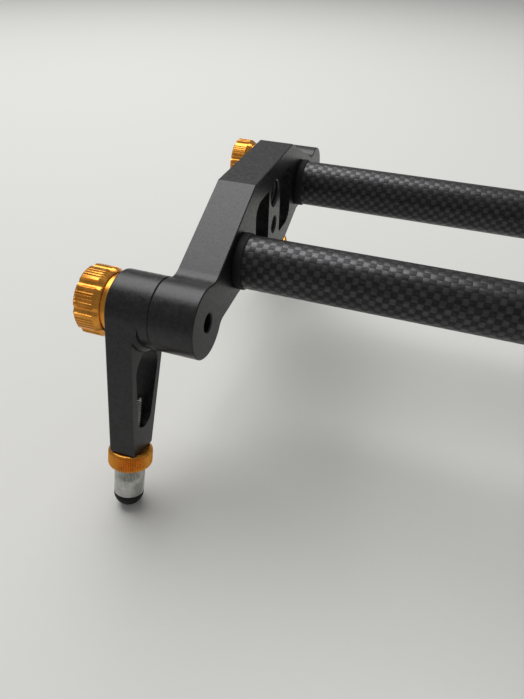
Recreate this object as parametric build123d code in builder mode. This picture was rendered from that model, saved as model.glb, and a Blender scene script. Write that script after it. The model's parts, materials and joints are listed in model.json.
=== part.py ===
from build123d import *
import os
from math import cos, degrees, radians, sin, sqrt, tan

os.makedirs("parts", exist_ok=True)

# Clearances, in millimetres
static_gap = 0.02
running_gap = 0.05
face_gap = 0.1
roller_gap = 0.15

# Rails
rail_diameter = 18.0
rail_wall = 1.5
rail_spacing = 74.0
slider_length = 600.0
socket_depth = 7.5
bumper_length = 3.0
bumper_wall = 0.55
plug_length = 18.0

# Rail bolts, held in the outer faces of the end brackets
rail_bolt_radius = 2.45
rail_bolt_length = 17.0
rail_bolt_head_radius = 4.4
rail_bolt_head_height = 2.6
rail_bolt_hex = 3.0
rail_bolt_sink = 3.0

# End brackets
bracket_thickness = 13.5
bracket_top = 20.6
bracket_top_half_width = 22.5
shoulder_angle = 25.0
shoulder_fillet = 7.0
belly_drop = 18.0
belly_half_width = 15.5
belly_angle = 19.4
rail_floor_drop = 11.3
rail_floor_reach = 41.0
ear_spacing = 132.0
ear_drop = 6.1
ear_radius = 11.6
ear_boss_height = 0.5
ear_root_fillet = 4.0
edge_break = 0.3

# Windows and tapped holes in the middle of each end bracket
web_width = 14.2
window_width = 15.1
window_top = 12.9
window_bottom = 10.2
window_outer_corner = 5.5
window_web_corner = 2.0
large_thread_radius = 4.76
large_thread_height = 9.1
small_thread_radius = 3.18
small_thread_drop = 3.4
thread_lead_in = 0.4

# Legs
leg_splay = 19.0
seam_width = 0.45
leg_barrel_length = 14.2
arm_thickness = 9.25
arm_end_half_width = 6.2
arm_end_corner = 0.6
arm_length = 50.1
arm_edge_round = 0.7
overhang_radius = 1.6
arm_window_top = 19.8
arm_window_top_radius = 7.0
arm_window_end = 36.6
arm_window_end_radius = 4.45

# Leg clamps
screw_radius = 2.95
screw_pitch = 1.0
screw_tip_setback = 4.0
screw_head_radius = 5.0
screw_head_height = 2.8
screw_hex = 4.0
clamp_washer_thickness = 0.5
clamp_washer_radius = 8.2
knob_radius = 11.2
knob_length = 10.3
knob_recess = 3.2
knob_rest_angle = 41.0
knob_flutes = 8
knob_flute_radius = 1.5
knob_flute_depth = 1.0
knob_groove_radius = 0.32
knob_groove_count = 4
knob_groove_pitch = 1.05
knob_neck_length = 1.9
knob_neck_step = 1.6
knob_shoulder_length = 2.0
knob_shoulder_step = 1.2
knob_rim = 0.5

# Feet
lock_ring_radius = 7.55
lock_ring_length = 6.5
lock_ring_round = 0.9
foot_radius = 5.2
foot_barrel_length = 11.3
foot_stud_length = 26.0
foot_spigot_radius = 2.4
foot_spigot_length = 3.0
foot_tip_height = 5.15

# Carriage
carriage_length = 100.0
carriage_width = 114.0
carriage_thickness = 10.0
carriage_clearance = 2.5
carriage_corner = 9.0
carriage_edge = 1.0

# Guide rollers, turning on upright axles between the rails
roller_pitch_length = 66.0
roller_groove_floor = 9.0
roller_half_height = 6.0
roller_rim = 0.5
roller_bore = 5.05
inner_ring_proud = 0.3
axle_radius = 2.45
axle_head_radius = 4.25
axle_head_height = 5.0
axle_hex = 4.0
axle_tail = 1.5
spacer_wall = 2.0
lock_nut_width = 8.0
lock_nut_height = 4.7

# Camera seat in the middle of the carriage
friction_disc_radius = 27.9
friction_disc_thickness = 1.8
friction_disc_sink = 1.0
camera_stud_radius = 4.76
camera_stud_length = 11.0
camera_stud_shank = 5.5
camera_stud_flange = 8.5
camera_stud_flange_height = 2.0

# Bubble level in the carriage
level_inset_x = 13.0
level_inset_y = 14.0
level_radius = 7.0
level_height = 5.0
level_sink = 4.2
level_vial_radius = 5.2
level_vial_height = 3.6

# Brake on the front edge of the carriage
brake_block_length = 26.0
brake_block_width = 9.0
brake_block_drop = 8.0
brake_rail_clearance = 2.0
brake_pad_radius = 4.0
brake_pad_length = 5.0
brake_travel = 1.5
brake_knob_radius = 9.0
brake_knob_length = 10.0
brake_knob_standoff = 0.6
block_screw_pitch = 17.0
block_screw_radius = 1.95
block_screw_head_radius = 3.5
block_screw_head_height = 4.0
block_screw_hex = 3.0
block_screw_grip = 9.0

# Places worked out from the sizes above
rail_radius = rail_diameter / 2
rail_y = rail_spacing / 2
ear_y = ear_spacing / 2
inner_face_x = slider_length / 2 - bracket_thickness
barrel_in = bracket_thickness + ear_boss_height + seam_width
barrel_out = barrel_in + leg_barrel_length
arm_in = barrel_out - arm_thickness
arm_middle = barrel_out - arm_thickness / 2
knob_in = barrel_out + clamp_washer_thickness + 2 * face_gap
ring_start = arm_length + face_gap
foot_start = ring_start + lock_ring_length + face_gap
tip_start = foot_start + foot_barrel_length + face_gap
tip_end = tip_start + foot_tip_height
tip_dome_radius = (foot_radius**2 + foot_tip_height**2) / (2 * foot_tip_height)
tip_centre = tip_end - tip_dome_radius
ear_z = tip_centre * cos(radians(leg_splay)) + tip_dome_radius
rail_z = ear_z + ear_drop
carriage_bottom = rail_z + rail_radius + carriage_clearance
carriage_top = carriage_bottom + carriage_thickness
level_x = carriage_length / 2 - level_inset_x
level_y = carriage_width / 2 - level_inset_y


def save(piece, name):
    """Label one finished piece and write it to its own file."""
    piece.part.label = name
    export_step(piece.part, f"parts/{name}.step")


def save_mirrored(master, name, to_right, to_back):
    """Write the left front master mirrored to another corner of the slider."""
    with BuildPart() as copy:
        add(master.part)
        if to_right:
            mirror(about=Plane.YZ, mode=Mode.REPLACE)
        if to_back:
            mirror(about=Plane.XZ, mode=Mode.REPLACE)
    save(copy, name)


def end_plane(depth):
    """Plane across the rails, depth outward from the left inner face, its +Z outward."""
    origin = (-inner_face_x - depth, 0, rail_z)
    return Plane(origin=origin, x_dir=(0, -1, 0), z_dir=(-1, 0, 0))


def leg_plane(depth):
    """Plane across the left front leg, its origin on the ear axis and its +Y down the leg."""
    tilt = radians(leg_splay)
    origin = (-inner_face_x - depth, -ear_y, ear_z)
    return Plane(origin=origin, x_dir=(0, cos(tilt), -sin(tilt)), z_dir=(-1, 0, 0))


def foot_plane():
    """Plane whose +X runs across the leg and +Y down it, through the middle of the arm."""
    return leg_plane(arm_middle)


def turned_piece(plane, profile):
    """Solid of revolution about the local Y axis of plane, from (radius, height) corners."""
    with BuildPart() as piece:
        with BuildSketch(plane):
            with BuildLine():
                Polyline(*profile, close=True)
            make_face()
        revolve(axis=Axis(plane.origin, plane.y_dir))
    return piece


def cap_screw(plane, head_radius, head_height, shank_radius, shank_length, hex_width):
    """Socket head screw with its head on the +Z side of plane and its shank below it."""
    with BuildPart() as screw:
        with BuildSketch(plane):
            Circle(head_radius)
        extrude(amount=head_height)
        top = screw.faces().filter_by(Axis(plane.origin, plane.z_dir)).sort_by(
            Axis(plane.origin, plane.z_dir))[-1]
        chamfer(top.edges(), 0.3)
        with BuildSketch(plane):
            Circle(shank_radius)
        extrude(amount=-shank_length)
        with BuildSketch(plane.offset(head_height)):
            RegularPolygon(hex_width / 2, 6, major_radius=False)
        extrude(amount=-0.6 * head_height, mode=Mode.SUBTRACT)
    return screw


def fluted_knob(plane, radius, length):
    """Knob with flutes and fine grooves round it, its neck on plane and its length along +Z."""
    bore = screw_radius + static_gap
    recess = screw_head_radius + face_gap
    with BuildPart() as knob:
        with BuildSketch(Plane(plane.origin, x_dir=plane.x_dir, z_dir=-plane.y_dir)):
            with BuildLine():
                Polyline(
                    (bore, 0),
                    (radius - knob_neck_step, 0),
                    (radius - knob_neck_step, knob_neck_length),
                    (radius - knob_shoulder_step, knob_neck_length),
                    (radius, knob_neck_length + knob_shoulder_length),
                    (radius, length - knob_rim),
                    (radius - knob_rim, length),
                    (recess, length),
                    (recess, length - knob_recess),
                    (bore, length - knob_recess),
                    close=True,
                )
            make_face()
        revolve(axis=Axis(plane.origin, plane.z_dir))
        with BuildSketch(plane):
            flute_centre = radius + knob_flute_radius - knob_flute_depth
            with PolarLocations(flute_centre, knob_flutes, start_angle=knob_rest_angle):
                Circle(knob_flute_radius)
        extrude(amount=length, mode=Mode.SUBTRACT)
        groove_start = knob_neck_length + knob_shoulder_length
        land_middle = knob_rest_angle + 180 / knob_flutes
        with BuildSketch(plane.offset(groove_start)):
            for groove in range(knob_groove_count):
                place = (groove - (knob_groove_count - 1) / 2) * knob_groove_pitch
                angle = land_middle + degrees(place / radius)
                with PolarLocations(radius, knob_flutes, start_angle=angle):
                    Circle(knob_groove_radius)
        extrude(amount=length - groove_start, mode=Mode.SUBTRACT)
    return knob


# End brackets
with BuildPart() as end_bracket_left:
    with BuildSketch(end_plane(0)) as outline:
        shoulder_reach = ear_y - bracket_top_half_width
        shoulder_low = bracket_top - shoulder_reach * tan(radians(shoulder_angle))
        belly_rise = belly_drop - rail_floor_drop
        belly_reach = belly_half_width + belly_rise / tan(radians(belly_angle))
        ear_low = -ear_drop - 0.55 * ear_radius
        with BuildLine():
            half = Polyline(
                (0, bracket_top),
                (bracket_top_half_width, bracket_top),
                (ear_y, shoulder_low),
                (ear_y, ear_low),
                (rail_floor_reach, -rail_floor_drop),
                (belly_reach, -rail_floor_drop),
                (belly_half_width, -belly_drop),
                (0, -belly_drop),
            )
            mirror(half, about=Plane.YZ)
        make_face()
        with Locations((-ear_y, -ear_drop), (ear_y, -ear_drop)):
            Circle(ear_radius)
        shoulders = outline.vertices().filter_by(
            lambda v: abs(v.X) > rail_y + rail_radius and v.Y > -ear_drop)
        fillet(shoulders, shoulder_fillet)
        roots = outline.vertices().filter_by(
            lambda v: abs(v.X) > rail_y + rail_radius and v.Y < -ear_drop)
        fillet(roots, ear_root_fillet)
    extrude(amount=bracket_thickness)
    with BuildSketch(end_plane(bracket_thickness)):
        with Locations((-ear_y, -ear_drop), (ear_y, -ear_drop)):
            Circle(ear_radius)
    extrude(amount=ear_boss_height)
    inner_face = end_bracket_left.faces().sort_by(Axis.X)[-1]
    chamfer(inner_face.outer_wire().edges(), edge_break)
    window_middle = (web_width + window_width) / 2
    window_height = window_top + window_bottom
    with BuildSketch(end_plane(0)) as windows:
        with Locations(*[(s * window_middle, (window_top - window_bottom) / 2) for s in (-1, 1)]):
            Rectangle(window_width, window_height)
        fillet(windows.vertices().filter_by(lambda v: abs(v.X) < window_middle), window_web_corner)
        beyond = window_middle + window_web_corner
        fillet(windows.vertices().filter_by(lambda v: abs(v.X) > beyond), window_outer_corner)
    extrude(amount=bracket_thickness, mode=Mode.SUBTRACT)
    with BuildSketch(end_plane(0)):
        with Locations((0, large_thread_height)):
            Circle(large_thread_radius)
        with Locations((0, -small_thread_drop)):
            Circle(small_thread_radius)
    extrude(amount=bracket_thickness, mode=Mode.SUBTRACT)
    ear_depth = bracket_thickness + ear_boss_height
    with BuildSketch(end_plane(0)):
        with Locations((-ear_y, -ear_drop), (ear_y, -ear_drop)):
            Circle(screw_radius + running_gap)
    extrude(amount=ear_depth, mode=Mode.SUBTRACT)
    for hole_radius in (large_thread_radius, small_thread_radius, screw_radius + running_gap):
        rims = end_bracket_left.edges().filter_by(GeomType.CIRCLE).filter_by(
            lambda e: abs(e.radius - hole_radius) < 0.001)
        chamfer(rims, thread_lead_in)
    with BuildSketch(end_plane(0)):
        with Locations((-rail_y, 0), (rail_y, 0)):
            Circle(rail_radius + static_gap)
    extrude(amount=socket_depth, mode=Mode.SUBTRACT)
    with Locations(*[end_plane(bracket_thickness) * Pos(s * rail_y, 0) for s in (-1, 1)]):
        CounterBoreHole(
            radius=rail_bolt_radius + face_gap,
            counter_bore_radius=rail_bolt_head_radius + 0.2,
            counter_bore_depth=rail_bolt_sink,
            depth=bracket_thickness,
        )
save(end_bracket_left, "end_bracket_left")
save_mirrored(end_bracket_left, "end_bracket_right", True, False)

# Carbon rails, seated in the blind sockets of the two end brackets
rail_length = 2 * (inner_face_x + socket_depth)
rail_places = [(s * rail_y, rail_z) for s in (-1, 1)]
for rail_name, place in zip(("rail_tube_front", "rail_tube_back"), rail_places):
    with BuildPart() as rail_tube:
        with BuildSketch(Plane.YZ):
            with Locations(place):
                Circle(rail_radius)
                Circle(rail_radius - rail_wall, mode=Mode.SUBTRACT)
        extrude(amount=rail_length / 2, both=True)
    save(rail_tube, rail_name)

# Threaded plugs glued into the rail ends
plug_radius = rail_radius - rail_wall - static_gap
with BuildPart() as rail_end_plugs:
    with BuildSketch(Plane.YZ.offset(rail_length / 2 - plug_length)):
        with Locations(*rail_places):
            Circle(plug_radius)
            Circle(rail_bolt_radius + static_gap, mode=Mode.SUBTRACT)
    extrude(amount=plug_length)
    mirror(about=Plane.YZ)
save(rail_end_plugs, "rail_end_plugs")

# Bolts through the outer faces of the brackets into the plugs
with BuildPart() as rail_bolts:
    for side in (-1, 1):
        for y, z in rail_places:
            seat_x = side * (slider_length / 2 - rail_bolt_sink)
            add(cap_screw(
                Plane(origin=(seat_x, y, z), z_dir=(side, 0, 0)),
                rail_bolt_head_radius,
                rail_bolt_head_height,
                rail_bolt_radius,
                rail_bolt_length,
                rail_bolt_hex,
            ).part)
save(rail_bolts, "rail_bolts")

# Rubber bumper rings round the rail ends
with BuildPart() as rail_bumpers:
    with BuildSketch(Plane.YZ.offset(inner_face_x - bumper_length)):
        with Locations(*rail_places):
            Circle(rail_radius + bumper_wall)
            Circle(rail_radius + static_gap, mode=Mode.SUBTRACT)
    extrude(amount=bumper_length)
    mirror(about=Plane.YZ)
save(rail_bumpers, "rail_bumpers")

# Outline of the tapered arm, whose sides run straight off the barrel on the ear axis
with BuildSketch(leg_plane(arm_in)) as arm_outline:
    Circle(ear_radius)
    corner_x = arm_end_half_width - arm_end_corner
    with Locations(*[(s * corner_x, arm_length - arm_end_corner) for s in (-1, 1)]):
        Circle(arm_end_corner)
    make_hull(arm_outline.edges())

# Hollow fillet where the barrel overhangs the inner face of the arm
with BuildPart() as overhang_fillet:
    across = leg_plane(arm_in)
    inside = ear_radius - edge_break
    outside = ear_radius + overhang_radius
    with BuildSketch(Plane(across.origin, x_dir=across.y_dir, z_dir=across.x_dir)):
        with BuildLine():
            RadiusArc((ear_radius, -overhang_radius), (outside, 0), -overhang_radius)
            Polyline(
                (outside, 0),
                (inside, 0),
                (inside, -overhang_radius),
                (ear_radius, -overhang_radius),
            )
        make_face()
    revolve(axis=Axis(across.origin, across.z_dir))
    extrude(arm_outline.sketch, amount=-overhang_radius, mode=Mode.INTERSECT)

# Leg arm: a short barrel on the ear axis with a tapered, windowed arm below it
with BuildPart() as leg_arm:
    with BuildSketch(leg_plane(barrel_in)):
        Circle(ear_radius)
    extrude(amount=leg_barrel_length)
    extrude(arm_outline.sketch, amount=arm_thickness)
    add(overhang_fillet.part)
    fillet(leg_arm.faces().sort_by(Axis.X)[0].outer_wire().edges(), arm_edge_round)
    chamfer(leg_arm.faces().sort_by(Axis.X)[-1].outer_wire().edges(), edge_break)
    with BuildSketch(leg_plane(arm_in)) as arm_window:
        with Locations((0, arm_window_top)):
            Circle(arm_window_top_radius)
        with Locations((0, arm_window_end)):
            Circle(arm_window_end_radius)
        make_hull(arm_window.edges())
    extrude(amount=arm_thickness, mode=Mode.SUBTRACT)
    with BuildSketch(leg_plane(barrel_in)):
        Circle(screw_radius + running_gap)
    extrude(amount=leg_barrel_length, mode=Mode.SUBTRACT)
    bore_plane = foot_plane()
    bore_start = bore_plane * Pos(0, arm_length, 0)
    with BuildSketch(Plane(bore_start.position, x_dir=bore_plane.x_dir, z_dir=-bore_plane.y_dir)):
        Circle(screw_radius + running_gap)
    extrude(amount=arm_length - arm_window_end, mode=Mode.SUBTRACT)

# Thin washer in the seam between the ear and the leg barrel
with BuildPart() as pivot_washer:
    with BuildSketch(leg_plane(bracket_thickness + ear_boss_height)):
        Circle(ear_radius - edge_break)
        Circle(screw_radius + face_gap, mode=Mode.SUBTRACT)
    extrude(amount=seam_width - face_gap)

# Thrust washer that travels in and out with the knob without turning
with BuildPart() as clamp_washer:
    with BuildSketch(leg_plane(barrel_out + face_gap)):
        Circle(clamp_washer_radius)
        Circle(screw_radius + face_gap, mode=Mode.SUBTRACT)
    extrude(amount=clamp_washer_thickness)

# Clamp knob and the screw fixed in it, which threads into the ear
clamp_knob = fluted_knob(leg_plane(knob_in), knob_radius, knob_length)
screw_seat = knob_in + knob_length - knob_recess
clamp_screw = cap_screw(
    leg_plane(screw_seat),
    screw_head_radius,
    screw_head_height,
    screw_radius,
    screw_seat - screw_tip_setback,
    screw_hex,
)

# Lock ring, a round nut on the stud of the foot
ring_wall = lock_ring_radius - screw_radius - running_gap
with BuildPart() as lock_ring:
    with BuildSketch(foot_plane()) as ring_section:
        with Locations((screw_radius + running_gap, ring_start)):
            Rectangle(ring_wall, lock_ring_length, align=Align.MIN)
        fillet(ring_section.vertices().group_by(Axis.X)[-1], lock_ring_round)
    revolve(axis=Axis(foot_plane().origin, foot_plane().y_dir))

# Foot: a steel barrel with its stud above and a spigot for the rubber tip below
foot_end = foot_start + foot_barrel_length
foot = turned_piece(
    foot_plane(),
    [
        (0, foot_start - foot_stud_length),
        (screw_radius - edge_break, foot_start - foot_stud_length),
        (screw_radius, foot_start - foot_stud_length + edge_break),
        (screw_radius, foot_start),
        (foot_radius - edge_break, foot_start),
        (foot_radius, foot_start + edge_break),
        (foot_radius, foot_end),
        (foot_spigot_radius, foot_end),
        (foot_spigot_radius, foot_end + foot_spigot_length),
        (0, foot_end + foot_spigot_length),
    ],
)

# Rubber tip with a domed sole
with BuildPart() as foot_tip:
    with BuildSketch(foot_plane()):
        with BuildLine():
            spigot_bore = foot_spigot_radius + running_gap
            spigot_depth = foot_end + foot_spigot_length + face_gap
            Polyline(
                (0, tip_end),
                (0, spigot_depth),
                (spigot_bore, spigot_depth),
                (spigot_bore, tip_start),
                (foot_radius, tip_start),
            )
            TangentArc((0, tip_end), (foot_radius, tip_start), tangent=(1, 0))
        make_face()
    revolve(axis=Axis(foot_plane().origin, foot_plane().y_dir))

# The four corners of the slider, mirrored from the left front one
leg_pieces = {
    "leg_arm": leg_arm,
    "pivot_washer": pivot_washer,
    "clamp_washer": clamp_washer,
    "clamp_knob": clamp_knob,
    "clamp_screw": clamp_screw,
    "lock_ring": lock_ring,
    "foot": foot,
    "foot_tip": foot_tip,
}
for side in ("left", "right"):
    for row in ("front", "back"):
        for piece_name, master in leg_pieces.items():
            name = f"{side}_{row}_{piece_name}"
            save_mirrored(master, name, side == "right", row == "back")

# Carriage plate, which rides above the rails
roller_y = rail_y - rail_radius - roller_gap - roller_groove_floor
roller_places = [(sx * roller_pitch_length / 2, sy * roller_y) for sx in (-1, 1) for sy in (-1, 1)]
block_face_y = -rail_y - rail_radius - brake_rail_clearance
block_middle_y = block_face_y - brake_block_width / 2
block_screw_places = [(s * block_screw_pitch / 2, block_middle_y) for s in (-1, 1)]
with BuildPart() as carriage_plate:
    with BuildSketch(Plane.XY.offset(carriage_bottom)):
        RectangleRounded(carriage_length, carriage_width, carriage_corner)
    extrude(amount=carriage_thickness)
    chamfer(carriage_plate.faces().sort_by(Axis.Z)[-1].edges(), carriage_edge)
    chamfer(carriage_plate.faces().sort_by(Axis.Z)[0].edges(), edge_break)
    with Locations((0, 0, carriage_top)):
        Hole(friction_disc_radius + face_gap, depth=friction_disc_sink)
        Hole(camera_stud_shank + static_gap, depth=carriage_thickness)
    with Locations((level_x, level_y, carriage_top)):
        Hole(level_radius + static_gap, depth=level_sink)
    with Locations(*[(x, y, carriage_top) for x, y in roller_places]):
        CounterBoreHole(
            radius=axle_radius + face_gap,
            counter_bore_radius=axle_head_radius + 0.3,
            counter_bore_depth=axle_head_height + 0.4,
            depth=carriage_thickness,
        )
    with Locations(*[(x, y, carriage_top) for x, y in block_screw_places]):
        CounterBoreHole(
            radius=block_screw_radius + face_gap,
            counter_bore_radius=block_screw_head_radius + 0.2,
            counter_bore_depth=block_screw_head_height + 0.4,
            depth=carriage_thickness,
        )
save(carriage_plate, "carriage_plate")

# Guide rollers, whose hollow grooves wrap the inner sides of the rails
groove_radius = rail_radius + roller_gap
groove_half_height = roller_half_height - roller_rim
groove_centre = roller_groove_floor + groove_radius
rim_radius = groove_centre - sqrt(groove_radius**2 - groove_half_height**2)
roller_names = [f"guide_roller_{s}_{r}" for s in ("left", "right") for r in ("front", "back")]
for roller_name, (x, y) in zip(roller_names, roller_places):
    with BuildPart() as guide_roller:
        with BuildSketch(Plane(origin=(x, y, rail_z), x_dir=(1, 0, 0), z_dir=(0, -1, 0))):
            with BuildLine():
                Polyline(
                    (rim_radius, groove_half_height),
                    (rim_radius, roller_half_height),
                    (roller_bore, roller_half_height),
                    (roller_bore, -roller_half_height),
                    (rim_radius, -roller_half_height),
                    (rim_radius, -groove_half_height),
                )
                ThreePointArc(
                    (rim_radius, -groove_half_height),
                    (roller_groove_floor, 0),
                    (rim_radius, groove_half_height),
                )
            make_face()
        revolve(axis=Axis((x, y, rail_z), (0, 0, 1)))
    save(guide_roller, roller_name)

# Inner rings, spacers, axle bolts and lock nuts of the four rollers
inner_ring_half = roller_half_height + inner_ring_proud
with BuildPart() as roller_inner_rings:
    with BuildSketch(Plane.XY.offset(rail_z - inner_ring_half)):
        with Locations(*roller_places):
            Circle(roller_bore - running_gap)
            Circle(axle_radius + static_gap, mode=Mode.SUBTRACT)
    extrude(amount=2 * inner_ring_half)
save(roller_inner_rings, "roller_inner_rings")

with BuildPart() as roller_spacers:
    with BuildSketch(Plane.XY.offset(rail_z + inner_ring_half)):
        with Locations(*roller_places):
            Circle(axle_radius + spacer_wall)
            Circle(axle_radius + static_gap, mode=Mode.SUBTRACT)
    extrude(amount=carriage_bottom - rail_z - inner_ring_half)
save(roller_spacers, "roller_spacers")

axle_seat = carriage_top - axle_head_height - 0.4
axle_end = rail_z - inner_ring_half - lock_nut_height - axle_tail
with BuildPart() as roller_axle_bolts:
    for x, y in roller_places:
        add(cap_screw(
            Plane(origin=(x, y, axle_seat), z_dir=(0, 0, 1)),
            axle_head_radius,
            axle_head_height,
            axle_radius,
            axle_seat - axle_end,
            axle_hex,
        ).part)
save(roller_axle_bolts, "roller_axle_bolts")

with BuildPart() as roller_lock_nuts:
    with BuildSketch(Plane.XY.offset(rail_z - inner_ring_half)):
        with Locations(*roller_places):
            RegularPolygon(lock_nut_width / 2, 6, major_radius=False)
            Circle(axle_radius + static_gap, mode=Mode.SUBTRACT)
    extrude(amount=-lock_nut_height)
save(roller_lock_nuts, "roller_lock_nuts")

# Friction disc under the camera and the stud that holds it
disc_bottom = carriage_top - friction_disc_sink
disc_top = disc_bottom + friction_disc_thickness
with BuildPart() as friction_disc:
    with BuildSketch(Plane.XY.offset(disc_bottom)):
        Circle(friction_disc_radius)
        Circle(camera_stud_shank + 2 * face_gap, mode=Mode.SUBTRACT)
    extrude(amount=friction_disc_thickness)
save(friction_disc, "friction_disc")

camera_stud = turned_piece(
    Plane.XZ,
    [
        (0, carriage_bottom - camera_stud_flange_height),
        (camera_stud_flange, carriage_bottom - camera_stud_flange_height),
        (camera_stud_flange, carriage_bottom),
        (camera_stud_shank, carriage_bottom),
        (camera_stud_shank, disc_top),
        (camera_stud_radius, disc_top),
        (camera_stud_radius, disc_top + camera_stud_length - thread_lead_in),
        (camera_stud_radius - thread_lead_in, disc_top + camera_stud_length),
        (0, disc_top + camera_stud_length),
    ],
)
save(camera_stud, "camera_stud")

# Round bubble level let into one corner of the carriage
level_bottom = carriage_top - level_sink
level_top = level_bottom + level_height
with BuildPart() as level_housing:
    with BuildSketch(Plane.XY.offset(level_bottom)):
        with Locations((level_x, level_y)):
            Circle(level_radius)
    extrude(amount=level_height)
    chamfer(level_housing.faces().sort_by(Axis.Z)[-1].edges(), edge_break)
    with Locations((level_x, level_y, level_top)):
        Hole(level_vial_radius + static_gap, depth=level_vial_height)
save(level_housing, "level_housing")

with BuildPart() as level_vial:
    with BuildSketch(Plane.XY.offset(level_top - level_vial_height)):
        with Locations((level_x, level_y)):
            Circle(level_vial_radius)
    extrude(amount=level_vial_height)
save(level_vial, "level_vial")

# Brake block hung under the front edge of the carriage, with a bore for the pad
brake_axis_plane = Plane(origin=(0, block_face_y, rail_z), x_dir=(1, 0, 0), z_dir=(0, -1, 0))
brake_bore_depth = brake_pad_length - brake_rail_clearance + face_gap + brake_travel
with BuildPart() as brake_block:
    with BuildSketch(Plane.XY.offset(carriage_bottom)):
        with Locations((0, block_middle_y)):
            Rectangle(brake_block_length, brake_block_width)
    extrude(amount=-(carriage_bottom - rail_z + brake_block_drop))
    fillet(brake_block.edges().filter_by(Axis.Y).group_by(Axis.Z)[0], brake_pad_radius)
    chamfer(brake_block.faces().sort_by(Axis.Y)[0].edges(), edge_break)
    with BuildSketch(brake_axis_plane):
        Circle(screw_radius + running_gap)
    extrude(amount=brake_block_width, mode=Mode.SUBTRACT)
    with BuildSketch(brake_axis_plane):
        Circle(brake_pad_radius + running_gap)
    extrude(amount=brake_bore_depth, mode=Mode.SUBTRACT)
    with Locations(*[(x, y, carriage_bottom) for x, y in block_screw_places]):
        Hole(block_screw_radius + static_gap, depth=block_screw_grip + 1)
save(brake_block, "brake_block")

block_screw_seat = carriage_top - block_screw_head_height - 0.4
with BuildPart() as brake_block_screws:
    for x, y in block_screw_places:
        add(cap_screw(
            Plane(origin=(x, y, block_screw_seat), z_dir=(0, 0, 1)),
            block_screw_head_radius,
            block_screw_head_height,
            block_screw_radius,
            block_screw_seat - carriage_bottom + block_screw_grip,
            block_screw_hex,
        ).part)
save(brake_block_screws, "brake_block_screws")

# Brake pad, screw and knob: the pad presses on the outer side of the front rail
pad_face_y = -rail_y - rail_radius - face_gap
pad_back_y = pad_face_y - brake_pad_length
with BuildPart() as brake_pad:
    with BuildSketch(Plane(origin=(0, pad_face_y, rail_z), x_dir=(1, 0, 0), z_dir=(0, -1, 0))):
        Circle(brake_pad_radius)
    extrude(amount=brake_pad_length)
save(brake_pad, "brake_pad")

brake_knob_y = block_face_y - brake_block_width - brake_knob_standoff
brake_knob_plane = Plane(origin=(0, brake_knob_y, rail_z), x_dir=(1, 0, 0), z_dir=(0, -1, 0))
brake_knob = fluted_knob(brake_knob_plane, brake_knob_radius, brake_knob_length)
save(brake_knob, "brake_knob")

brake_screw_seat = brake_knob_plane.offset(brake_knob_length - knob_recess)
brake_screw = cap_screw(
    brake_screw_seat,
    screw_head_radius,
    screw_head_height,
    screw_radius,
    pad_back_y - face_gap - brake_screw_seat.origin.Y,
    screw_hex,
)
save(brake_screw, "brake_screw")
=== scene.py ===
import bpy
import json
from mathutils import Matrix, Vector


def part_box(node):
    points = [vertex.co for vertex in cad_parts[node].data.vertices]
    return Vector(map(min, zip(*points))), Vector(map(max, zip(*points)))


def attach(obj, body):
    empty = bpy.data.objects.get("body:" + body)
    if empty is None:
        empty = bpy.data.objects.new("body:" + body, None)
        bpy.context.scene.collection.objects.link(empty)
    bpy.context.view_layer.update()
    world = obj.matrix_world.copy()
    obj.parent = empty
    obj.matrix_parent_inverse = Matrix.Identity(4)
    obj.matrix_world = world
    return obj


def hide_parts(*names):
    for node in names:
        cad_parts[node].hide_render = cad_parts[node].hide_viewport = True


bl_info = {
    "name": "Camera slider looks",
    "version": (1, 0, 0),
    "blender": (4, 5, 0),
    "location": "3D View > Sidebar > Slider",
    "description": "Dresses the camera slider's solids and builds its turned and knurled pieces",
    "category": "Object",
}

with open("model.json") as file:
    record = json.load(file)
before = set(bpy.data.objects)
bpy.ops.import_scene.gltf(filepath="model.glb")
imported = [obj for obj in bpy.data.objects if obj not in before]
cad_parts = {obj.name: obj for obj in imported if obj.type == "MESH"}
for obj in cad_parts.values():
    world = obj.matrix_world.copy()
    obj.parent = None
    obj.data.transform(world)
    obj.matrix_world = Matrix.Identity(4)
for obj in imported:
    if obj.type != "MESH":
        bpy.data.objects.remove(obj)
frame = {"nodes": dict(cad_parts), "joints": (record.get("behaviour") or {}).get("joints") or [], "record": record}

import json
import math

import bmesh
import bpy
from bpy.props import FloatProperty, FloatVectorProperty, IntProperty, PointerProperty
from mathutils import Matrix, Vector

MM = 0.001
FIBRES_IN_A_TOW = 7
SCREW_BORE = 2.97 * MM
STUD_BORE = 3.0 * MM
CAMERA_PLACE = (-0.2326, -0.1839, 0.16425)
CAMERA_YAW_PITCH_ROLL = (17.27, 39.01, 1.74)
LAMP_PLACE = (-0.75, 0.55, 1.45)
LAMP_AIM = (-0.2, -0.05, 0.05)
LAMP_SIZE = 1.5
FLOOR_HALF_SIZE = 5.0
CORNERS = [(side, row) for side in ("left", "right") for row in ("front", "back")]
JOINTS = {joint["name"]: joint for joint in frame["joints"]}


def in_mm(name, description, millimetres):
    """A length property in metres, given in millimetres."""
    return FloatProperty(name=name, description=description, default=millimetres * MM,
                         min=0.0, precision=5, subtype="DISTANCE", unit="LENGTH")


def colour(name, description, rgb):
    """A linear colour property."""
    return FloatVectorProperty(name=name, description=description, default=rgb,
                               size=3, min=0.0, max=1.0, subtype="COLOR")


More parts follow.
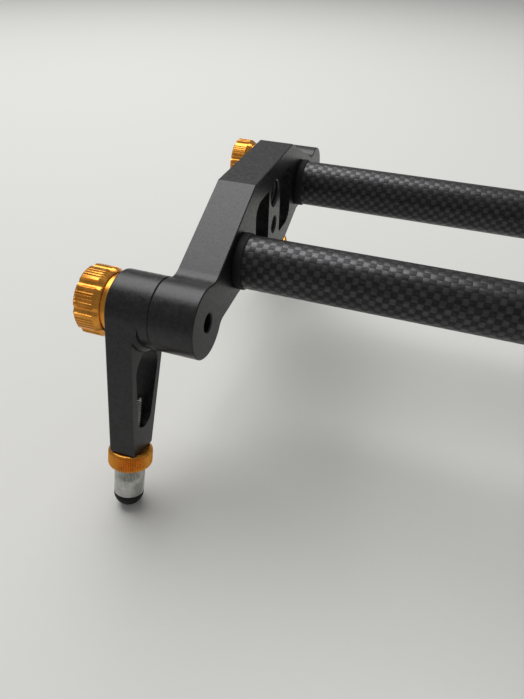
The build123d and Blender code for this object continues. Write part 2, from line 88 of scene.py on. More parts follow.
class KnobSettings(bpy.types.PropertyGroup):
    """Sizes that the clamp knobs and the brake knob share."""
    flutes: IntProperty(name="Flutes", description="Round hollows round each knob", default=8)
    flute_radius: in_mm("Flute radius", "Radius of each hollow", 1.5)
    flute_depth: in_mm("Flute depth", "How deep each hollow cuts", 1.0)
    grooves: IntProperty(name="Grooves", description="Fine grooves on each land", default=4)
    groove_radius: in_mm("Groove radius", "Radius of each fine groove", 0.32)
    groove_pitch: in_mm("Groove pitch", "Distance between fine grooves", 1.05)
    rest_angle: FloatProperty(name="Rest angle", description="Where the first flute stands",
                              default=math.radians(41.0), subtype="ANGLE", unit="ROTATION")
    radius: in_mm("Clamp knob radius", "Radius over the lands", 11.2)
    length: in_mm("Clamp knob length", "Length along the screw", 10.3)
    brake_radius: in_mm("Brake knob radius", "Radius over the lands", 9.0)
    brake_length: in_mm("Brake knob length", "Length along the screw", 10.0)


class FootSettings(bpy.types.PropertyGroup):
    """Sizes of the lock ring, the foot barrel and its stud."""
    ring_radius: in_mm("Ring radius", "Radius over the ring's knurl", 7.55)
    ring_length: in_mm("Ring length", "Length along the stud", 6.5)
    ring_teeth: IntProperty(name="Ring teeth", description="Ridges round the ring", default=80)
    barrel_radius: in_mm("Barrel radius", "Radius of the steel barrel", 5.2)
    barrel_length: in_mm("Barrel length", "Length of the steel barrel", 11.3)
    barrel_teeth: IntProperty(name="Barrel teeth", description="Ridges round the barrel",
                              default=64)
    knurl_depth: in_mm("Knurl depth", "Depth of the straight knurls", 0.36)
    stud_radius: in_mm("Stud radius", "Radius over the stud's thread", 2.95)
    stud_length: in_mm("Stud length", "Length of the stud above the barrel", 26.0)
    stud_pitch: in_mm("Stud pitch", "Pitch of the stud's thread", 1.0)


class RailSettings(bpy.types.PropertyGroup):
    """Sizes of the rails' weave and their bumper rings."""
    radius: in_mm("Rail radius", "Radius of the tubes", 9.0)
    weave_pitch: in_mm("Weave pitch", "Width of one square of the weave", 2.0)
    squares_round: IntProperty(name="Squares round", description="Squares round a tube",
                               default=28)
    bumper_length: in_mm("Bumper length", "Length of each bumper ring", 3.0)
    bumper_wall: in_mm("Bumper wall", "How far a bumper stands off its tube", 0.55)


class FinishSettings(bpy.types.PropertyGroup):
    """Base colours of the finishes."""
    black_anodised: colour("Black anodising", "Brackets, arms and carriage", (0.042, 0.042, 0.043))
    orange_anodised: colour("Orange anodising", "Knobs and lock rings", (0.70, 0.30, 0.05))
    # Painted light: the two weave tones are lit and shaded copies of one carbon, the lit one a painted sheen on
    # the lengthwise tows.
    weave_lit_tone: colour("Weave, light", "Tows that catch the light", (0.085, 0.085, 0.088))
    weave_shaded_tone: colour("Weave, dark", "Tows turned from the light", (0.020, 0.020, 0.021))
    bright_steel: colour("Bright steel", "Feet, stud and nuts", (0.46, 0.46, 0.435))
    black_steel: colour("Black steel", "Screws and bolts", (0.045, 0.045, 0.048))
    aluminium: colour("Plain aluminium", "Plugs in the rails", (0.62, 0.62, 0.64))
    nylon: colour("Nylon", "Rollers and washers", (0.03, 0.03, 0.031))
    rubber: colour("Rubber", "Foot tips, bumpers and pads", (0.009, 0.009, 0.010))
    level_fluid: colour("Level fluid", "Fluid in the bubble level", (0.50, 0.72, 0.10))


class StageSettings(bpy.types.PropertyGroup):
    """Floor, lamp and camera."""
    floor: colour("Floor", "Colour of the floor", (0.68, 0.68, 0.655))
    sky: colour("Surroundings", "Colour of the room round the stage", (0.30, 0.30, 0.30))
    lamp_power: FloatProperty(name="Lamp power", description="Power of the soft lamp",
                              default=24.0, unit="POWER")
    lens: FloatProperty(name="Lens", description="Focal length in millimetres", default=27.21)


SETTINGS = {
    "slider_knobs": KnobSettings,
    "slider_feet": FootSettings,
    "slider_rails": RailSettings,
    "slider_finishes": FinishSettings,
    "slider_stage": StageSettings,
}


# Materials

class Finish:
    """One procedural material, with helpers that add nodes before its shader."""

    def __init__(self, name, base, metallic, roughness):
        self.material = bpy.data.materials.new(name)
        self.material.use_nodes = True
        self.tree = self.material.node_tree
        self.shader = self.tree.nodes["Principled BSDF"]
        self.shader.inputs["Base Color"].default_value = (*base, 1)
        self.shader.inputs["Metallic"].default_value = metallic
        self.shader.inputs["Roughness"].default_value = roughness
        self.place = self.add("ShaderNodeTexCoord").outputs["Object"]

    def add(self, kind, **settings):
        """Add one node with its own settings."""
        node = self.tree.nodes.new(kind)
        for key, value in settings.items():
            setattr(node, key, value)
        return node

    def wire(self, target, value):
        """Feed a socket from a node's output or with a constant."""
        if isinstance(value, bpy.types.NodeSocket):
            self.tree.links.new(value, target)
        else:
            target.default_value = value

    def calc(self, operation, first, second=0.0, third=None):
        """One math node."""
        node = self.add("ShaderNodeMath", operation=operation)
        self.wire(node.inputs[0], first)
        self.wire(node.inputs[1], second)
        if third is not None:
            self.wire(node.inputs[2], third)
        return node.outputs[0]

    def axes(self):
        """The object's x, y and z at the shaded point."""
        split = self.add("ShaderNodeSeparateXYZ")
        self.wire(split.inputs[0], self.place)
        return split.outputs

    def distance(self, centre_x, centre_y):
        """Distance from an upright line through a point."""
        x, y, _ = self.axes()
        across = self.calc("SUBTRACT", x, centre_x)
        along = self.calc("SUBTRACT", y, centre_y)
        return self.calc("SQRT", self.calc("ADD", self.calc("MULTIPLY", across, across),
                                           self.calc("MULTIPLY", along, along)))

    def noise(self, size, detail=2.0, stretch=(1, 1, 1)):
        """Noise with spots of about the given size in metres."""
        mapping = self.add("ShaderNodeMapping")
        mapping.inputs["Scale"].default_value = stretch
        self.wire(mapping.inputs["Vector"], self.place)
        node = self.add("ShaderNodeTexNoise")
        self.wire(node.inputs["Vector"], mapping.outputs[0])
        node.inputs["Scale"].default_value = 1 / size
        node.inputs["Detail"].default_value = detail
        return node.outputs["Fac"]

    def between(self, value, low, high, from_low=0.35, from_high=0.65):
        """Map a noise value to a range of numbers."""
        node = self.add("ShaderNodeMapRange")
        self.wire(node.inputs["Value"], value)
        node.inputs["From Min"].default_value = from_low
        node.inputs["From Max"].default_value = from_high
        node.inputs["To Min"].default_value = low
        node.inputs["To Max"].default_value = high
        return node.outputs["Result"]

    def tint(self, factor, first, second):
        """Blend two colours by a factor, either of them a colour or a socket."""
        node = self.add("ShaderNodeMix", data_type="RGBA")
        self.wire(node.inputs[0], factor)
        for socket, value in ((node.inputs[6], first), (node.inputs[7], second)):
            self.wire(socket, value if isinstance(value, bpy.types.NodeSocket) else (*value, 1))
        return node.outputs[2]

    def paint(self, base=None, roughness=None, height=None, depth=0.00003, strength=0.5):
        """Feed the shader's colour, roughness and bump."""
        if base is not None:
            self.wire(self.shader.inputs["Base Color"], base)
        if roughness is not None:
            self.wire(self.shader.inputs["Roughness"], roughness)
        if height is not None:
            bump = self.add("ShaderNodeBump")
            bump.inputs["Strength"].default_value = strength
            bump.inputs["Distance"].default_value = depth
            self.wire(bump.inputs["Height"], height)
            self.wire(self.shader.inputs["Normal"], bump.outputs[0])
        return self.material


def shade(rgb, factor):
    """A colour made lighter or darker."""
    return tuple(min(1.0, channel * factor) for channel in rgb)


def grained(name, rgb, metallic, roughness, grain, depth, strength=0.5, mottle=1.5 * MM,
            gloss=0.5):
    """Satin finish with a fine blasted grain and soft mottling."""
    finish = Finish(name, rgb, metallic, roughness)
    finish.shader.inputs["Specular IOR Level"].default_value = gloss
    spots = finish.noise(grain, 3.0)
    clouds = finish.noise(mottle, 3.0)
    mixed = finish.calc("MULTIPLY_ADD", spots, 0.6, finish.calc("MULTIPLY", clouds, 0.4))
    return finish.paint(
        base=finish.tint(finish.between(mixed, 0.0, 1.0), shade(rgb, 0.72), shade(rgb, 1.3)),
        roughness=finish.between(clouds, roughness - 0.05, roughness + 0.06),
        height=spots, depth=depth, strength=strength)


def turned_metal(name, rgb, roughness):
    """Lathe-turned metal with fine lines round its local Z axis."""
    finish = Finish(name, rgb, 1.0, roughness)
    lines = finish.noise(0.004, 2.0, (1, 1, 22))
    clouds = finish.noise(0.002, 3.0)
    return finish.paint(
        base=finish.tint(finish.between(clouds, 0.0, 1.0), shade(rgb, 0.86), shade(rgb, 1.1)),
        roughness=finish.between(lines, roughness - 0.06, roughness + 0.08),
        height=lines, depth=0.00002, strength=0.35)


def woven(name, light, dark, centre_y, centre_z, rails):
    """Plain-weave carbon round a tube that runs along X at the given centre, light and dark being painted lit and
    shaded tones of one carbon.
    """
    finish = Finish(name, light, 0.75, 0.42)
    x, y, z = finish.axes()
    along = finish.calc("DIVIDE", x, rails.weave_pitch)
    angle = finish.calc("ARCTAN2", finish.calc("SUBTRACT", y, centre_y),
                        finish.calc("SUBTRACT", z, centre_z))
    around = finish.calc("MULTIPLY", angle, rails.squares_round / (2 * math.pi))
    squares = finish.calc("ADD", finish.calc("FLOOR", along), finish.calc("FLOOR", around))
    parity = finish.calc("FLOORED_MODULO", squares, 2.0)
    arch_along = finish.calc("SINE", finish.calc("MULTIPLY", finish.calc("FRACT", along), math.pi))
    arch_round = finish.calc("SINE", finish.calc("MULTIPLY", finish.calc("FRACT", around), math.pi))
    length_wise = finish.calc("MULTIPLY", finish.calc("POWER", arch_round, 0.35),
                              finish.calc("POWER", arch_along, 0.6))
    cross_wise = finish.calc("MULTIPLY", finish.calc("POWER", arch_along, 0.35),
                             finish.calc("POWER", arch_round, 0.6))
    fibre_waves = 2 * math.pi * FIBRES_IN_A_TOW
    fibres_long = finish.calc("SINE", finish.calc("MULTIPLY", around, fibre_waves))
    fibres_cross = finish.calc("SINE", finish.calc("MULTIPLY", along, fibre_waves))
    other = finish.calc("SUBTRACT", 1.0, parity)
    tows = finish.calc("ADD", finish.calc("MULTIPLY", parity, length_wise),
                       finish.calc("MULTIPLY", other, cross_wise))
    fibres = finish.calc("ADD", finish.calc("MULTIPLY", parity, fibres_long),
                         finish.calc("MULTIPLY", other, fibres_cross))
    streak = finish.noise(0.0007, 2.0, (0.25, 1, 1))
    # Painted sheen: lengthwise tows painted lighter than crosswise ones; the streak noise is random tone and the
    # fibres are fine lines.
    level = finish.calc("ADD", finish.calc("MULTIPLY", parity, 0.62),
                        finish.between(streak, -0.18, 0.28))
    level = finish.calc("ADD", level, finish.calc("MULTIPLY", fibres, 0.07))
    # Painted shade: each tow painted darker towards its edges and lighter on its crown.
    painted_crown_shade = finish.calc("ADD", 0.45, finish.calc("MULTIPLY", tows, 0.6))
    shaded = finish.calc("MULTIPLY", level, painted_crown_shade)
    height = finish.calc("ADD", tows, finish.calc("MULTIPLY", fibres, 0.08))
    return finish.paint(
        base=finish.tint(shaded, dark, light),
        roughness=finish.calc("SUBTRACT", 0.44, finish.calc("MULTIPLY", parity, 0.1)),
        height=height, depth=0.00008, strength=0.45)


def ribbed_rubber(name, rgb, pitch):
    """Rubber with fine rings round the row's Z axis."""
    finish = Finish(name, rgb, 0.0, 0.75)
    rings = finish.calc("SINE", finish.calc("MULTIPLY", finish.distance(0.0, 0.0),
                                            2 * math.pi / pitch))
    spots = finish.noise(0.0005, 3.0)
    return finish.paint(
        base=finish.tint(finish.between(spots, 0.0, 1.0), shade(rgb, 0.8), shade(rgb, 1.6)),
        roughness=finish.between(spots, 0.66, 0.84),
        height=finish.calc("ADD", rings, spots), depth=0.0002, strength=0.6)


def vial_fluid(name, rgb, centre):
    """Level fluid with its bubble and its ring, painted round the vial's centre."""
    finish = Finish(name, rgb, 0.0, 0.08)
    finish.shader.inputs["Coat Weight"].default_value = 1.0
    finish.shader.inputs["Coat Roughness"].default_value = 0.03
    bubble_radius = 1.5 * MM
    ring_radius = 2.6 * MM
    bubble = finish.distance(centre.x + 0.6 * MM, centre.y - 0.4 * MM)
    edge = finish.calc("ABSOLUTE", finish.calc("SUBTRACT", bubble, bubble_radius))
    middle = finish.distance(centre.x, centre.y)
    ring = finish.calc("ABSOLUTE", finish.calc("SUBTRACT", middle, ring_radius))
    clouds = finish.noise(0.002, 2.0)
    fluid = finish.tint(finish.between(clouds, 0.0, 1.0), shade(rgb, 0.85), shade(rgb, 1.12))
    inside = finish.calc("LESS_THAN", bubble, bubble_radius)
    filled = finish.tint(inside, fluid, (0.78, 0.92, 0.5))
    rimmed = finish.tint(finish.calc("LESS_THAN", edge, 0.12 * MM), filled, (0.16, 0.24, 0.03))
    lined = finish.tint(finish.calc("LESS_THAN", ring, 0.13 * MM), rimmed, (0.01, 0.01, 0.01))
    return finish.paint(base=lined)


FINISHES = {}


def finish_of(slot):
    """The material of one slot, made when it is first asked for."""
    if slot in FINISHES:
        return FINISHES[slot]
    base = bpy.context.scene.slider_finishes
    makers = {
        "black_anodised": lambda: grained(slot, base.black_anodised, 0.9, 0.36, 0.00035, 0.00003,
                                          0.6),
        "orange_anodised": lambda: grained(slot, base.orange_anodised, 1.0, 0.3, 0.0002, 0.00001,
                                           0.3, 0.003),
        "bright_steel": lambda: turned_metal(slot, base.bright_steel, 0.19),
        "black_steel": lambda: grained(slot, base.black_steel, 0.9, 0.36, 0.0003, 0.00001, 0.3),
        "plain_aluminium": lambda: turned_metal(slot, base.aluminium, 0.34),
        "black_nylon": lambda: grained(slot, base.nylon, 0.0, 0.5, 0.0004, 0.00002, 0.4,
                                       gloss=0.35),
        "black_rubber": lambda: grained(slot, base.rubber, 0.0, 0.72, 0.0004, 0.00003, 0.5,
                                        gloss=0.25),
    }
    FINISHES[slot] = makers[slot]()
    return FINISHES[slot]


def dress(node, material):
    """Give a CAD node a material, its mesh left as it is."""
    body = frame["nodes"][node]
    if not body.material_slots:
        body.data.materials.append(material)
    for slot in body.material_slots:
        slot.material = material


# Shapes

def turned(name, stations, steps, shape=None, bored=False, sharp=32.0):
    """Closed solid of revolution about local Z from (radius, height) stations."""
    shell = bmesh.new()
    rings = []
    for radius, height in stations:
        if radius == 0:
            rings.append([shell.verts.new((0, 0, height))])
            continue
        ring = []
        for step in range(steps):
            angle = 2 * math.pi * step / steps
            reach = shape(radius, height, angle) if shape else radius
            ring.append(shell.verts.new((reach * math.cos(angle), reach * math.sin(angle), height)))
        rings.append(ring)
    pairs = list(zip(rings, rings[1:]))
    if bored:
        pairs.append((rings[-1], rings[0]))
    for low, high in pairs:
        for step in range(steps):
            after = (step + 1) % steps
            corners = [low[step % len(low)], low[after % len(low)],
                       high[after % len(high)], high[step % len(high)]]
            shell.faces.new(list(dict.fromkeys(corners)))
    bmesh.ops.recalc_face_normals(shell, faces=shell.faces)
    mesh = bpy.data.meshes.new(name)
    shell.to_mesh(mesh)
    shell.free()
    mesh.shade_smooth()
    mesh.set_sharp_from_angle(angle=math.radians(sharp))
    piece = bpy.data.objects.new(name, mesh)
    bpy.context.scene.collection.objects.link(piece)
    return piece


def stand(piece, origin, axis, toward, body, slot, material, *nodes):
    """Place a piece with its Z along axis and its Y near toward, and hang it on a body."""
    z = Vector(axis).normalized()
    x = Vector(toward).cross(z).normalized()
    y = z.cross(x)
    turn = Matrix((x, y, z)).transposed().to_4x4()
    piece.matrix_world = Matrix.Translation(Vector(origin)) @ turn
    piece.data.materials.append(material)
    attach(piece, body)
    if nodes:
        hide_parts(*nodes)
    return piece


def thread_shape(root, crest, pitch, low, high):
    """Right-handed thread between two heights, plain elsewhere."""
    def shape(radius, height, angle):
        if not low <= height <= high or abs(radius - crest) > 0.3 * abs(crest - root) + 1e-6:
            return radius
        turn = (height / pitch - angle / (2 * math.pi)) % 1.0
        ridge = min(1.0, max(0.0, 1.35 * abs(2 * turn - 1) - 0.15))
        run_out = min(1.0, (height - low) / (0.7 * pitch), (high - height) / (0.7 * pitch))
        return crest - (crest - root) * (1 - ridge) * run_out
    return shape


def climb(radius, low, high, step):
    """Stations up a straight wall."""
    count = max(1, round((high - low) / step))
    return [(radius, low + (high - low) * part / count) for part in range(count + 1)]


def down_leg(corner):
    """Direction down one leg."""
    return Vector(JOINTS[f"{corner}_ring_turn"]["axis"])


def box_along(node, direction):
    """How far a node reaches along a direction, lowest and highest."""
    reach = [vertex.co.dot(direction) for vertex in frame["nodes"][node].data.vertices]
    return min(reach), max(reach)


def on_axis(point, direction, reach):
    """The point of an axis that has the given reach along it."""
    point = Vector(point)
    return point + direction * (reach - point.dot(direction))


def knob_piece(name, radius, span, handed):
    """Fluted knob with grooved lands, its neck at height 0."""
    knobs = bpy.context.scene.slider_knobs
    centre = radius + knobs.flute_radius - knobs.flute_depth
    land_start = 3.9 * MM
    groove_step = knobs.groove_pitch / radius

    def cut(radius_here, middle, hole, away):
        half = middle * math.sin(away)
        if abs(half) >= hole or math.cos(away) < 0:
            return radius_here
        return min(radius_here, middle * math.cos(away) - math.sqrt(hole ** 2 - half ** 2))

    def shape(profile, height, angle):
        if profile < 0.741 * radius:
            return profile
        sector = 2 * math.pi / knobs.flutes
        away = (angle - handed * knobs.rest_angle + sector / 2) % sector - sector / 2
        reach = cut(profile, centre, knobs.flute_radius, away)
        if height < land_start - 0.05 * MM:
            return reach
        land = (angle - handed * knobs.rest_angle) % sector - sector / 2
        for groove in range(knobs.grooves):
            offset = (groove - (knobs.grooves - 1) / 2) * groove_step
            reach = min(reach, cut(profile, radius, knobs.groove_radius, land - offset))
        return reach

    neck = radius - 1.6 * MM
    cone = radius - 1.2 * MM
    rim = 0.5 * MM
    recess = span - 3.2 * MM
    stations = [
        (SCREW_BORE, 0),
        (neck - 0.2 * MM, 0),
        (neck, 0.2 * MM),
        (neck, 1.9 * MM),
        (cone, 1.9 * MM),
        (cone + 0.3 * MM, 2.3 * MM),
        (radius - 0.12 * MM, 3.75 * MM),
        (radius, land_start),
        (radius, span - rim - 0.12 * MM),
        (radius - 0.07 * MM, span - rim + 0.05 * MM),
        (radius - rim + 0.05 * MM, span - 0.07 * MM),
        (radius - rim - 0.12 * MM, span),
        (5.35 * MM, span),
        (5.1 * MM, span - 0.25 * MM),
        (5.1 * MM, recess),
        (SCREW_BORE, recess),
    ]
    return turned(name, stations, 720, shape, bored=True, sharp=38)


# Operators

class SliderOperator:
    """What the slider's operators share."""
    bl_options = {"REGISTER", "UNDO"}


class FinishBrackets(SliderOperator, bpy.types.Operator):
    """Give the end brackets their blasted black finish and dress their bolts"""
    bl_idname = "slider.finish_brackets"
    bl_label = "Finish brackets"

    def execute(self, context):
        for side in ("left", "right"):
            dress(f"end_bracket_{side}", finish_of("black_anodised"))
        dress("rail_bolts", finish_of("black_steel"))
        dress("rail_end_plugs", finish_of("plain_aluminium"))
        return {"FINISHED"}


class CutTappedThreads(SliderOperator, bpy.types.Operator):
    """Line the tapped holes of the brackets with their threads"""
    bl_idname = "slider.cut_tapped_threads"
    bl_label = "Cut tapped threads"

    def execute(self, context):
        holes = {"large": (1.5875, 0.62), "small": (1.27, 0.5)}
        for mount in frame["record"]["mounts"]:
            if mount["kind"] != "threaded_hole":
                continue
            pitch, depth = holes["large" if "large" in mount["name"] else "small"]
            wall = mount["dims"]["r_mm"] * MM
            crest = wall - depth * MM
            half = mount["dims"]["length_mm"] * MM / 2
            root = wall - 0.08 * MM
            stations = [(wall + 0.03 * MM, half), (wall + 0.03 * MM, -half)]
            stations += climb(root, -half, half, pitch * MM / 8)
            piece = turned(mount["name"] + "_thread", stations, 64,
                           thread_shape(crest, root, pitch * MM, -half, half), bored=True)
            stand(piece, mount["pos_m"], mount["axis"], (0, 0, 1), "frame", "black_anodised",
                  finish_of("black_anodised"))
        return {"FINISHED"}


class WeaveRails(SliderOperator, bpy.types.Operator):
    """Give the two rail tubes their plain carbon weave"""
    bl_idname = "slider.weave_rails"
    bl_label = "Weave rails"

    def execute(self, context):
        base = context.scene.slider_finishes
        for row in ("front", "back"):
            low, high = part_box(f"rail_tube_{row}")
            middle = (low + high) / 2
            dress(f"rail_tube_{row}", woven(f"carbon_weave_{row}", base.weave_lit_tone,
                                            base.weave_shaded_tone, middle.y, middle.z,
                                            context.scene.slider_rails))
        return {"FINISHED"}


class RoundBumpers(SliderOperator, bpy.types.Operator):
    """Make the rounded rubber bumper rings at the four rail ends"""
    bl_idname = "slider.round_bumpers"
    bl_label = "Round bumpers"

    def execute(self, context):
        rails = context.scene.slider_rails
        low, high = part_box("rail_bumpers")
        inner = rails.radius + 0.02 * MM
        outer = rails.radius + rails.bumper_wall
        wide = rails.bumper_length
        stations = [
            (inner, 0),
            (outer - 0.3 * MM, 0),
            (outer - 0.1 * MM, 0.25 * MM),
            (outer, 0.8 * MM),
            (outer, wide - 0.8 * MM),
            (outer - 0.1 * MM, wide - 0.25 * MM),
            (outer - 0.3 * MM, wide),
            (inner, wide),
        ]
        for side, x, out_x in (("left", low.x, 1), ("right", high.x, -1)):
            for row in ("front", "back"):
                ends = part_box(f"rail_tube_{row}")
                middle = (ends[0] + ends[1]) / 2
                piece = turned(f"{side}_{row}_bumper", stations, 128, bored=True)
                stand(piece, (x, middle.y, middle.z), (out_x, 0, 0), (0, 0, 1), "frame",
                      "black_rubber", finish_of("black_rubber"), "rail_bumpers")
        return {"FINISHED"}


class FinishArms(SliderOperator, bpy.types.Operator):
    """Dress the leg arms, their washers and their clamp screws"""
    bl_idname = "slider.finish_arms"
    bl_label = "Finish arms"

    def execute(self, context):
        for side, row in CORNERS:
            corner = f"{side}_{row}"
            dress(f"{corner}_leg_arm", finish_of("black_anodised"))
            dress(f"{corner}_pivot_washer", finish_of("black_nylon"))
            dress(f"{corner}_clamp_washer", finish_of("black_nylon"))
            dress(f"{corner}_clamp_screw", finish_of("black_steel"))
        return {"FINISHED"}


class CutKnobs(SliderOperator, bpy.types.Operator):
    """Cut the four fluted and grooved clamp knobs"""
    bl_idname = "slider.cut_knobs"
    bl_label = "Cut clamp knobs"

    def execute(self, context):
        knobs = context.scene.slider_knobs
        for side, row in CORNERS:
            corner = f"{side}_{row}"
            turn = JOINTS[f"{corner}_knob_turn"]
            axis = Vector(turn["axis"])
            handed = 1 if corner in ("left_front", "right_back") else -1
            neck = box_along(f"{corner}_clamp_knob", axis)[0]
            piece = knob_piece(f"{corner}_fluted_knob", knobs.radius, knobs.length, handed)
            stand(piece, on_axis(turn["pos_m"], axis, neck), axis, down_leg(corner),
                  f"{corner}_knob", "orange_anodised", finish_of("orange_anodised"),
                  f"{corner}_clamp_knob")
        return {"FINISHED"}


class KnurlLockRings(SliderOperator, bpy.types.Operator):
    """Knurl the four lock rings under the arms"""
    bl_idname = "slider.knurl_lock_rings"
    bl_label = "Knurl lock rings"

    def execute(self, context):
        feet = context.scene.slider_feet
        radius, span = feet.ring_radius, feet.ring_length

        def shape(profile, height, angle):
            bite = min(1.0, max(0.0, (profile - radius + 0.55 * MM) / (0.4 * MM)))
            wave = 0.5 - 0.5 * math.cos(feet.ring_teeth * angle)
            return profile - feet.knurl_depth * bite * wave

        edge = [(1.3, 0.0), (0.9, 0.08), (0.5, 0.3), (0.2, 0.62), (0.03, 1.0), (0.0, 1.3)]
        rise = [(radius - cut * MM, height * MM) for cut, height in edge]
        fall = [(reach, span - height) for reach, height in reversed(rise)]
        stations = [(STUD_BORE, 0)] + rise + fall + [(STUD_BORE, span)]
        for side, row in CORNERS:
            corner = f"{side}_{row}"
            axis = down_leg(corner)
            start = box_along(f"{corner}_lock_ring", axis)[0]
            pivot = JOINTS[f"{corner}_ring_turn"]["pos_m"]
            piece = turned(f"{corner}_knurled_ring", stations, feet.ring_teeth * 8, shape,
                           bored=True, sharp=50)
            stand(piece, on_axis(pivot, axis, start), axis, (1, 0, 0), f"{corner}_ring",
                  "orange_anodised", finish_of("orange_anodised"), f"{corner}_lock_ring")
        return {"FINISHED"}


class TurnFeet(SliderOperator, bpy.types.Operator):
    """Turn the four knurled steel feet and their threaded studs"""
    bl_idname = "slider.turn_feet"
    bl_label = "Turn feet"

    def execute(self, context):
        feet = context.scene.slider_feet
        radius, span = feet.barrel_radius, feet.barrel_length
        knurl_end = 0.5 * span

        def knurl(profile, height, angle):
            if profile < radius - 0.2 * MM or height > knurl_end:
                return profile
            fade = min(1.0, (knurl_end - height) / (1.6 * MM), (height + 0.1 * MM) / (0.6 * MM))
            wave = 0.5 - 0.5 * math.cos(feet.barrel_teeth * angle)
            return profile - 0.9 * feet.knurl_depth * fade * wave

        barrel = [(0, 0), (radius - 0.35 * MM, 0), (radius, 0.3 * MM)]
        barrel += climb(radius, 0.7 * MM, knurl_end, 0.35 * MM)
        barrel += [
            (radius, span - 0.3 * MM),
            (radius - 0.15 * MM, span),
            (2.4 * MM, span),
            (2.4 * MM, span + 3 * MM),
            (0, span + 3 * MM),
        ]
        crest = feet.stud_radius
        root = crest - 0.5 * feet.stud_pitch
        top = -feet.stud_length
        stud = [(0, top), (crest - 0.35 * MM, top)]
        stud += climb(crest, top + 0.3 * MM, 0.0, feet.stud_pitch / 8)
        stud += [(0, 0)]
        for side, row in CORNERS:
            corner = f"{side}_{row}"
            axis = down_leg(corner)
            start = box_along(f"{corner}_foot", axis)[0] + feet.stud_length
            place = on_axis(JOINTS[f"{corner}_foot_turn"]["pos_m"], axis, start)
            steel = finish_of("bright_steel")
            body = f"{corner}_foot_barrel"
            piece = turned(f"{corner}_knurled_foot", barrel, feet.barrel_teeth * 8, knurl, sharp=45)
            stand(piece, place, axis, (1, 0, 0), body, "bright_steel", steel, f"{corner}_foot")
            piece = turned(f"{corner}_foot_stud", stud, 40,
                           thread_shape(root, crest, feet.stud_pitch, top + 0.3 * MM, 0.0))
            stand(piece, place, axis, (1, 0, 0), body, "bright_steel", steel)
        return {"FINISHED"}


class FinishFootTips(SliderOperator, bpy.types.Operator):
    """Dress the rubber tips of the feet"""
    bl_idname = "slider.finish_foot_tips"
    bl_label = "Finish foot tips"

    def execute(self, context):
        for side, row in CORNERS:
            dress(f"{side}_{row}_foot_tip", finish_of("black_rubber"))
        return {"FINISHED"}


class FinishCarriage(SliderOperator, bpy.types.Operator):
    """Dress the carriage plate and the ribbed friction disc on it"""
    bl_idname = "slider.finish_carriage"
    bl_label = "Finish carriage"

    def execute(self, context):
        dress("carriage_plate", finish_of("black_anodised"))
        rubber = context.scene.slider_finishes.rubber
        dress("friction_disc", ribbed_rubber("ribbed_rubber", rubber, 0.0016))
        return {"FINISHED"}


class SeatCameraStud(SliderOperator, bpy.types.Operator):
    """Turn the threaded camera stud in the middle of the carriage"""
    bl_idname = "slider.seat_camera_stud"
    bl_label = "Seat camera stud"

    def execute(self, context):
        low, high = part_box("camera_stud")
        mount = [m for m in frame["record"]["mounts"] if m["name"] == "camera_stud"][0]
        crest = mount["dims"]["r_mm"] * MM
        pitch = 1.5875 * MM
        span = high.z - low.z
        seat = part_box("friction_disc")[1].z - low.z
        flange = 8.5 * MM
        shank = 5.5 * MM
        stations = [
            (0, 0),
            (flange - 0.3 * MM, 0),
            (flange, 0.3 * MM),
            (flange, 2.0 * MM),
            (shank, 2.0 * MM),
            (shank, seat - 0.2 * MM),
            (shank - 0.2 * MM, seat),
        ]
        stations += climb(crest, seat + 0.2 * MM, span - 0.6 * MM, pitch / 8)
        stations += [(crest - 0.6 * MM, span), (0, span)]
        piece = turned("threaded_camera_stud", stations, 64,
                       thread_shape(crest - 0.8 * MM, crest, pitch, seat + 0.2 * MM,
                                    span - 0.6 * MM))
        stand(piece, (0, 0, low.z), (0, 0, 1), (0, 1, 0), "carriage", "bright_steel",
              finish_of("bright_steel"), "camera_stud")
        return {"FINISHED"}


class FillLevel(SliderOperator, bpy.types.Operator):
    """Fill the bubble level with fluid, a bubble and its ring"""
    bl_idname = "slider.fill_level"
    bl_label = "Fill level"

    def execute(self, context):
        low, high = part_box("level_vial")
        dress("level_housing", finish_of("black_anodised"))
        dress("level_vial", vial_fluid("level_glass", context.scene.slider_finishes.level_fluid,
                                       (low + high) / 2))
        return {"FINISHED"}


class FinishRollers(SliderOperator, bpy.types.Operator):
    """Dress the guide rollers, their rings, spacers, bolts and nuts"""
    bl_idname = "slider.finish_rollers"
    bl_label = "Finish rollers"

    def execute(self, context):
        for side, row in CORNERS:
            dress(f"guide_roller_{side}_{row}", finish_of("black_nylon"))
        for node in ("roller_inner_rings", "roller_spacers", "roller_lock_nuts"):
            dress(node, finish_of("bright_steel"))
        dress("roller_axle_bolts", finish_of("black_steel"))
        return {"FINISHED"}


class DressBrake(SliderOperator, bpy.types.Operator):
    """Cut the brake knob and dress the brake's block, screws and pad"""
    bl_idname = "slider.dress_brake"
    bl_label = "Dress brake"

    def execute(self, context):
        knobs = context.scene.slider_knobs
        dress("brake_block", finish_of("black_anodised"))
        dress("brake_block_screws", finish_of("black_steel"))
        dress("brake_screw", finish_of("black_steel"))
        dress("brake_pad", finish_of("black_rubber"))
        turn = JOINTS["brake_knob_turn"]
        axis = Vector(turn["axis"])
        neck = box_along("brake_knob", axis)[0]
        piece = knob_piece("fluted_brake_knob", knobs.brake_radius, knobs.brake_length, 1)
        stand(piece, on_axis(turn["pos_m"], axis, neck), axis, (0, 0, 1), "brake_knob_body",
              "orange_anodised", finish_of("orange_anodised"), "brake_knob")
        return {"FINISHED"}


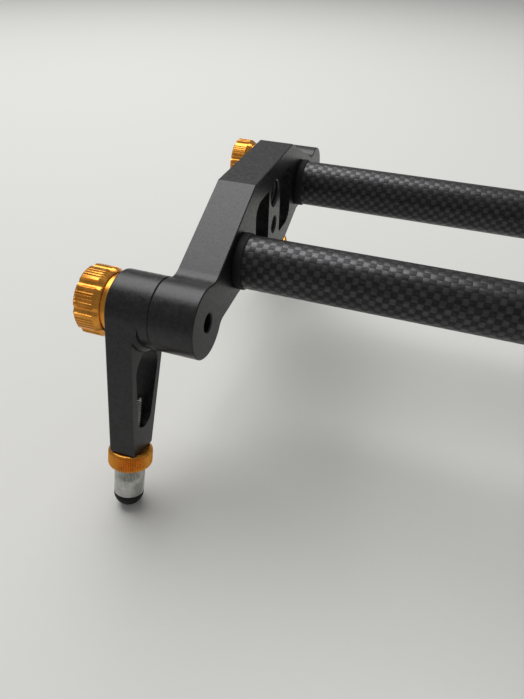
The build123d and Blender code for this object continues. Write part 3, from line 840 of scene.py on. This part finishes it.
class SetStage(SliderOperator, bpy.types.Operator):
    """Lay the floor and set the lamp, the room's light and the camera"""
    bl_idname = "slider.set_stage"
    bl_label = "Set stage"

    def execute(self, context):
        stage = context.scene.slider_stage
        sheet = bmesh.new()
        bmesh.ops.create_grid(sheet, x_segments=8, y_segments=8, size=FLOOR_HALF_SIZE)
        mesh = bpy.data.meshes.new("floor")
        sheet.to_mesh(mesh)
        sheet.free()
        floor = bpy.data.objects.new("floor", mesh)
        context.scene.collection.objects.link(floor)
        paper = Finish("floor_paper", stage.floor, 0.0, 0.7)
        fibres = paper.noise(0.004, 3.0)
        mesh.materials.append(paper.paint(
            base=paper.tint(fibres, shade(stage.floor, 0.99), shade(stage.floor, 1.01)),
            height=fibres, depth=0.00002, strength=0.1))

        world = bpy.data.worlds.new("room")
        world.use_nodes = True
        room = world.node_tree.nodes["Background"]
        room.inputs["Color"].default_value = (*stage.sky, 1)
        room.inputs["Strength"].default_value = 1.0
        context.scene.world = world

        lamp = bpy.data.lights.new("soft_lamp", "AREA")
        lamp.shape = "DISK"
        lamp.size = LAMP_SIZE
        lamp.energy = stage.lamp_power
        hung = bpy.data.objects.new("soft_lamp", lamp)
        context.scene.collection.objects.link(hung)
        hung.location = LAMP_PLACE
        aim = Vector(LAMP_AIM) - hung.location
        hung.rotation_euler = aim.to_track_quat("-Z", "Y").to_euler()

        yaw, pitch, roll = (math.radians(angle) for angle in CAMERA_YAW_PITCH_ROLL)
        ahead = Vector((-math.sin(yaw) * math.cos(pitch), math.cos(yaw) * math.cos(pitch),
                        -math.sin(pitch)))
        right = Vector((math.cos(yaw), math.sin(yaw), 0))
        up = right.cross(ahead)
        level_right = math.cos(roll) * right + math.sin(roll) * up
        level_up = -math.sin(roll) * right + math.cos(roll) * up
        view = bpy.data.cameras.new("camera")
        view.sensor_width = 36.0
        view.lens = stage.lens
        view.clip_start = 0.01
        camera = bpy.data.objects.new("camera", view)
        context.scene.collection.objects.link(camera)
        turn = Matrix((level_right, level_up, -ahead)).transposed().to_4x4()
        camera.matrix_world = Matrix.Translation(CAMERA_PLACE) @ turn
        context.scene.camera = camera
        context.scene.view_settings.view_transform = "Standard"
        return {"FINISHED"}


OPERATORS = (
    FinishBrackets,
    CutTappedThreads,
    WeaveRails,
    RoundBumpers,
    FinishArms,
    CutKnobs,
    KnurlLockRings,
    TurnFeet,
    FinishFootTips,
    FinishCarriage,
    SeatCameraStud,
    FillLevel,
    FinishRollers,
    DressBrake,
    SetStage,
)


class SliderPanel(bpy.types.Panel):
    """Buttons and sizes of the camera slider"""
    bl_idname = "VIEW3D_PT_camera_slider"
    bl_label = "Camera slider"
    bl_space_type = "VIEW_3D"
    bl_region_type = "UI"
    bl_category = "Slider"

    def draw(self, context):
        for operator in OPERATORS:
            self.layout.operator(operator.bl_idname)
        for group_name in SETTINGS:
            group = getattr(context.scene, group_name)
            box = self.layout.box()
            for prop in group.__annotations__:
                box.prop(group, prop)


def register():
    """Register the settings, the operators and the panel."""
    for name, group in SETTINGS.items():
        bpy.utils.register_class(group)
        setattr(bpy.types.Scene, name, PointerProperty(type=group))
    for operator in OPERATORS:
        bpy.utils.register_class(operator)
    bpy.utils.register_class(SliderPanel)


def unregister():
    """Remove what register added."""
    bpy.utils.unregister_class(SliderPanel)
    for operator in reversed(OPERATORS):
        bpy.utils.unregister_class(operator)
    for name, group in reversed(list(SETTINGS.items())):
        delattr(bpy.types.Scene, name)
        bpy.utils.unregister_class(group)


def main():
    """Register the add-on and dress the whole slider."""
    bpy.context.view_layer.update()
    register()
    for operator in OPERATORS:
        group, name = operator.bl_idname.split(".")
        getattr(getattr(bpy.ops, group), name)()


if __name__ == "__main__":
    main()
